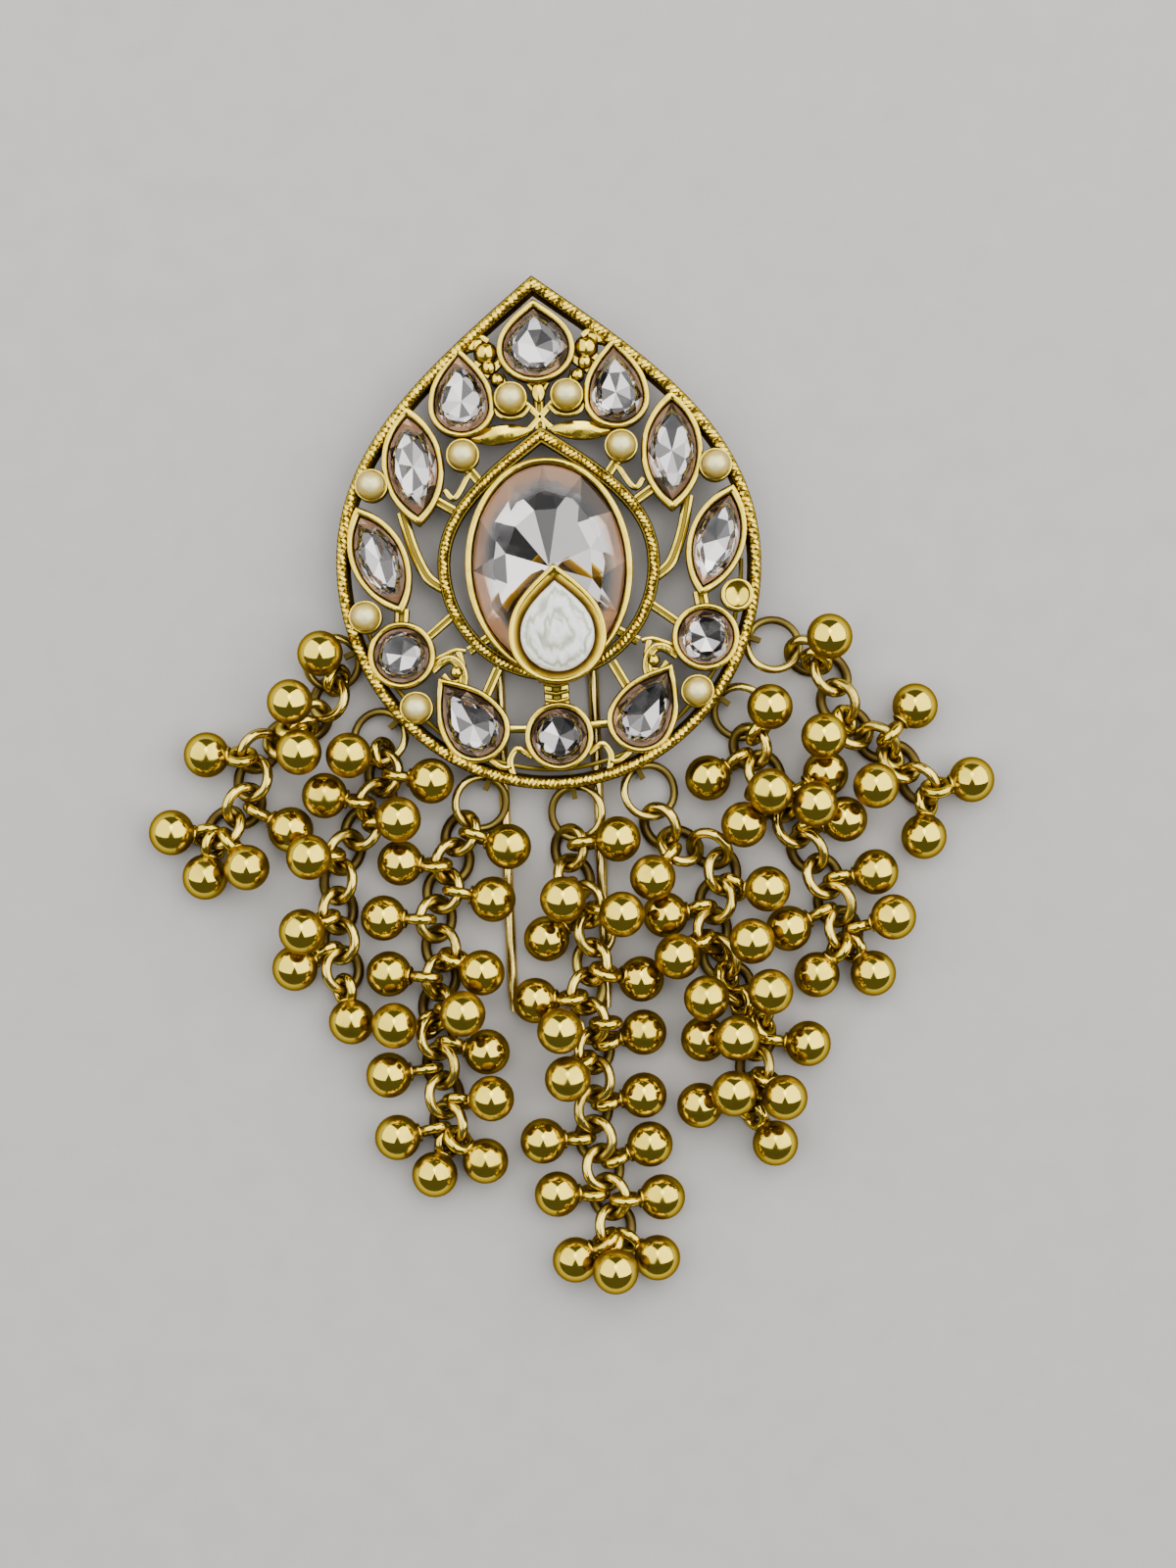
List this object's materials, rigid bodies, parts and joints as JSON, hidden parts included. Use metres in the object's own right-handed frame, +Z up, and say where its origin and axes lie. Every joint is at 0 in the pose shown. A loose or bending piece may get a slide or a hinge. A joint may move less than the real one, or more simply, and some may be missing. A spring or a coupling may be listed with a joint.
{
  "type": "hair brooch",
  "caption": "Pierced teardrop hair brooch set with cut stones and half pearls, with a U pin behind it and a fringe of chains hung with ball drops, lying flat.",
  "frame": {"origin": "middle of the whole brooch as seen from above, on the surface it lies on", "axes": "+Y from the fringe towards the plaque's point, +Z up, out of the jewelled face"},
  "size_m": [0.074, 0.0886, 0.0081],
  "materials": {
    "antique_gold": "antique gold plating with dark recesses",
    "chain_gold": "worn gold plating",
    "clear_stone": "foil-backed, faceted",
    "milky_stone": "milky, uneven face",
    "pearl": "pearl coating"
  },
  "bodies": {
    "root": {"plaque": "antique_gold", "hair_pin": "antique_gold", "strand_far_left": "chain_gold", "strand_left": "chain_gold", "strand_inner_left": "chain_gold", "strand_centre": "chain_gold", "strand_inner_right": "chain_gold", "strand_right": "chain_gold", "strand_far_right": "chain_gold", "oval_stone": "clear_stone", "top_drop_stone": "clear_stone", "upper_drop_stone_left": "clear_stone", "upper_drop_stone_right": "clear_stone", "upper_navette_stone_left": "clear_stone", "upper_navette_stone_right": "clear_stone", "lower_navette_stone_left": "clear_stone", "lower_navette_stone_right": "clear_stone", "side_round_stone_left": "clear_stone", "side_round_stone_right": "clear_stone", "lower_drop_stone_left": "clear_stone", "lower_drop_stone_right": "clear_stone", "bottom_round_stone": "clear_stone", "kundan_stone": "milky_stone", "pearl_1": "pearl", "pearl_2": "pearl", "pearl_3": "pearl", "pearl_4": "pearl", "pearl_5": "pearl", "pearl_6": "pearl", "pearl_7": "pearl", "pearl_8": "pearl", "pearl_9": "pearl"}
  },
  "joints": []
}
